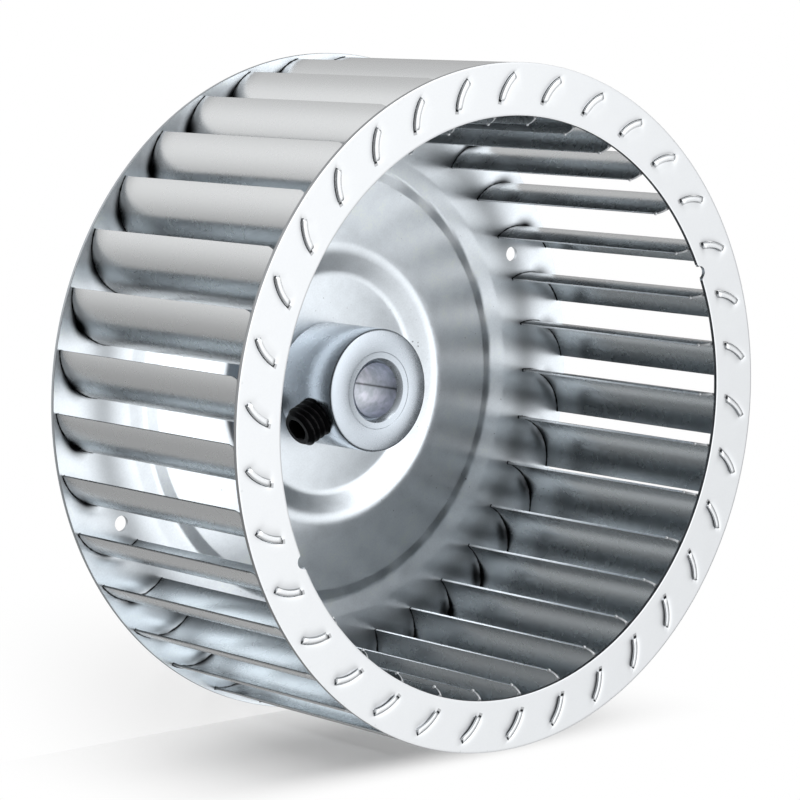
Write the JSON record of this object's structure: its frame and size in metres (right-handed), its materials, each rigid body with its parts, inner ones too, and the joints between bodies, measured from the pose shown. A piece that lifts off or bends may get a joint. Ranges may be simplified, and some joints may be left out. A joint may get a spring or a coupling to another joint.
{
  "type": "blower wheel",
  "caption": "Forward-curved squirrel-cage blower wheel: tabbed blades clinched between an inlet ring and a dished back plate, with a bored hub and a set screw.",
  "frame": {"origin": "on the shaft's axis, level with the folded tabs behind the back plate, which the wheel rests on", "axes": "+Z along the shaft's axis towards the inlet, +X away from the set screw, through a plate hole and an eye notch"},
  "size_m": [0.154, 0.154, 0.0667],
  "materials": {
    "ring_sheet": "bright galvanised sheet, satin",
    "plate_sheet": "galvanised sheet with a fine grain, satin",
    "blade_sheet": "galvanised sheet, satin",
    "plated_hub": "turned steel, bright zinc plated with a faint blue tint",
    "black_screw": "black oxide"
  },
  "bodies": {
    "wheel": {"inlet_ring": "ring_sheet", "back_plate": "plate_sheet", "hub": "plated_hub", "blade_01": "blade_sheet", "blade_02": "blade_sheet", "blade_03": "blade_sheet", "blade_04": "blade_sheet", "blade_05": "blade_sheet", "blade_06": "blade_sheet", "blade_07": "blade_sheet", "blade_08": "blade_sheet", "blade_09": "blade_sheet", "blade_10": "blade_sheet", "blade_11": "blade_sheet", "blade_12": "blade_sheet", "blade_13": "blade_sheet", "blade_14": "blade_sheet", "blade_15": "blade_sheet", "blade_16": "blade_sheet", "blade_17": "blade_sheet", "blade_18": "blade_sheet", "blade_19": "blade_sheet", "blade_20": "blade_sheet", "blade_21": "blade_sheet", "blade_22": "blade_sheet", "blade_23": "blade_sheet", "blade_24": "blade_sheet", "blade_25": "blade_sheet", "blade_26": "blade_sheet", "blade_27": "blade_sheet", "blade_28": "blade_sheet", "blade_29": "blade_sheet", "blade_30": "blade_sheet", "blade_31": "blade_sheet", "blade_32": "blade_sheet", "blade_33": "blade_sheet", "blade_34": "blade_sheet"},
    "set_screw": {"set_screw": "black_screw"}
  },
  "joints": [
    {"name": "set_screw_travel", "type": "slide", "parent": "wheel", "child": "set_screw", "axis": [1, 0, 0], "range_m": [-0.0025, 0.0019]}
  ]
}
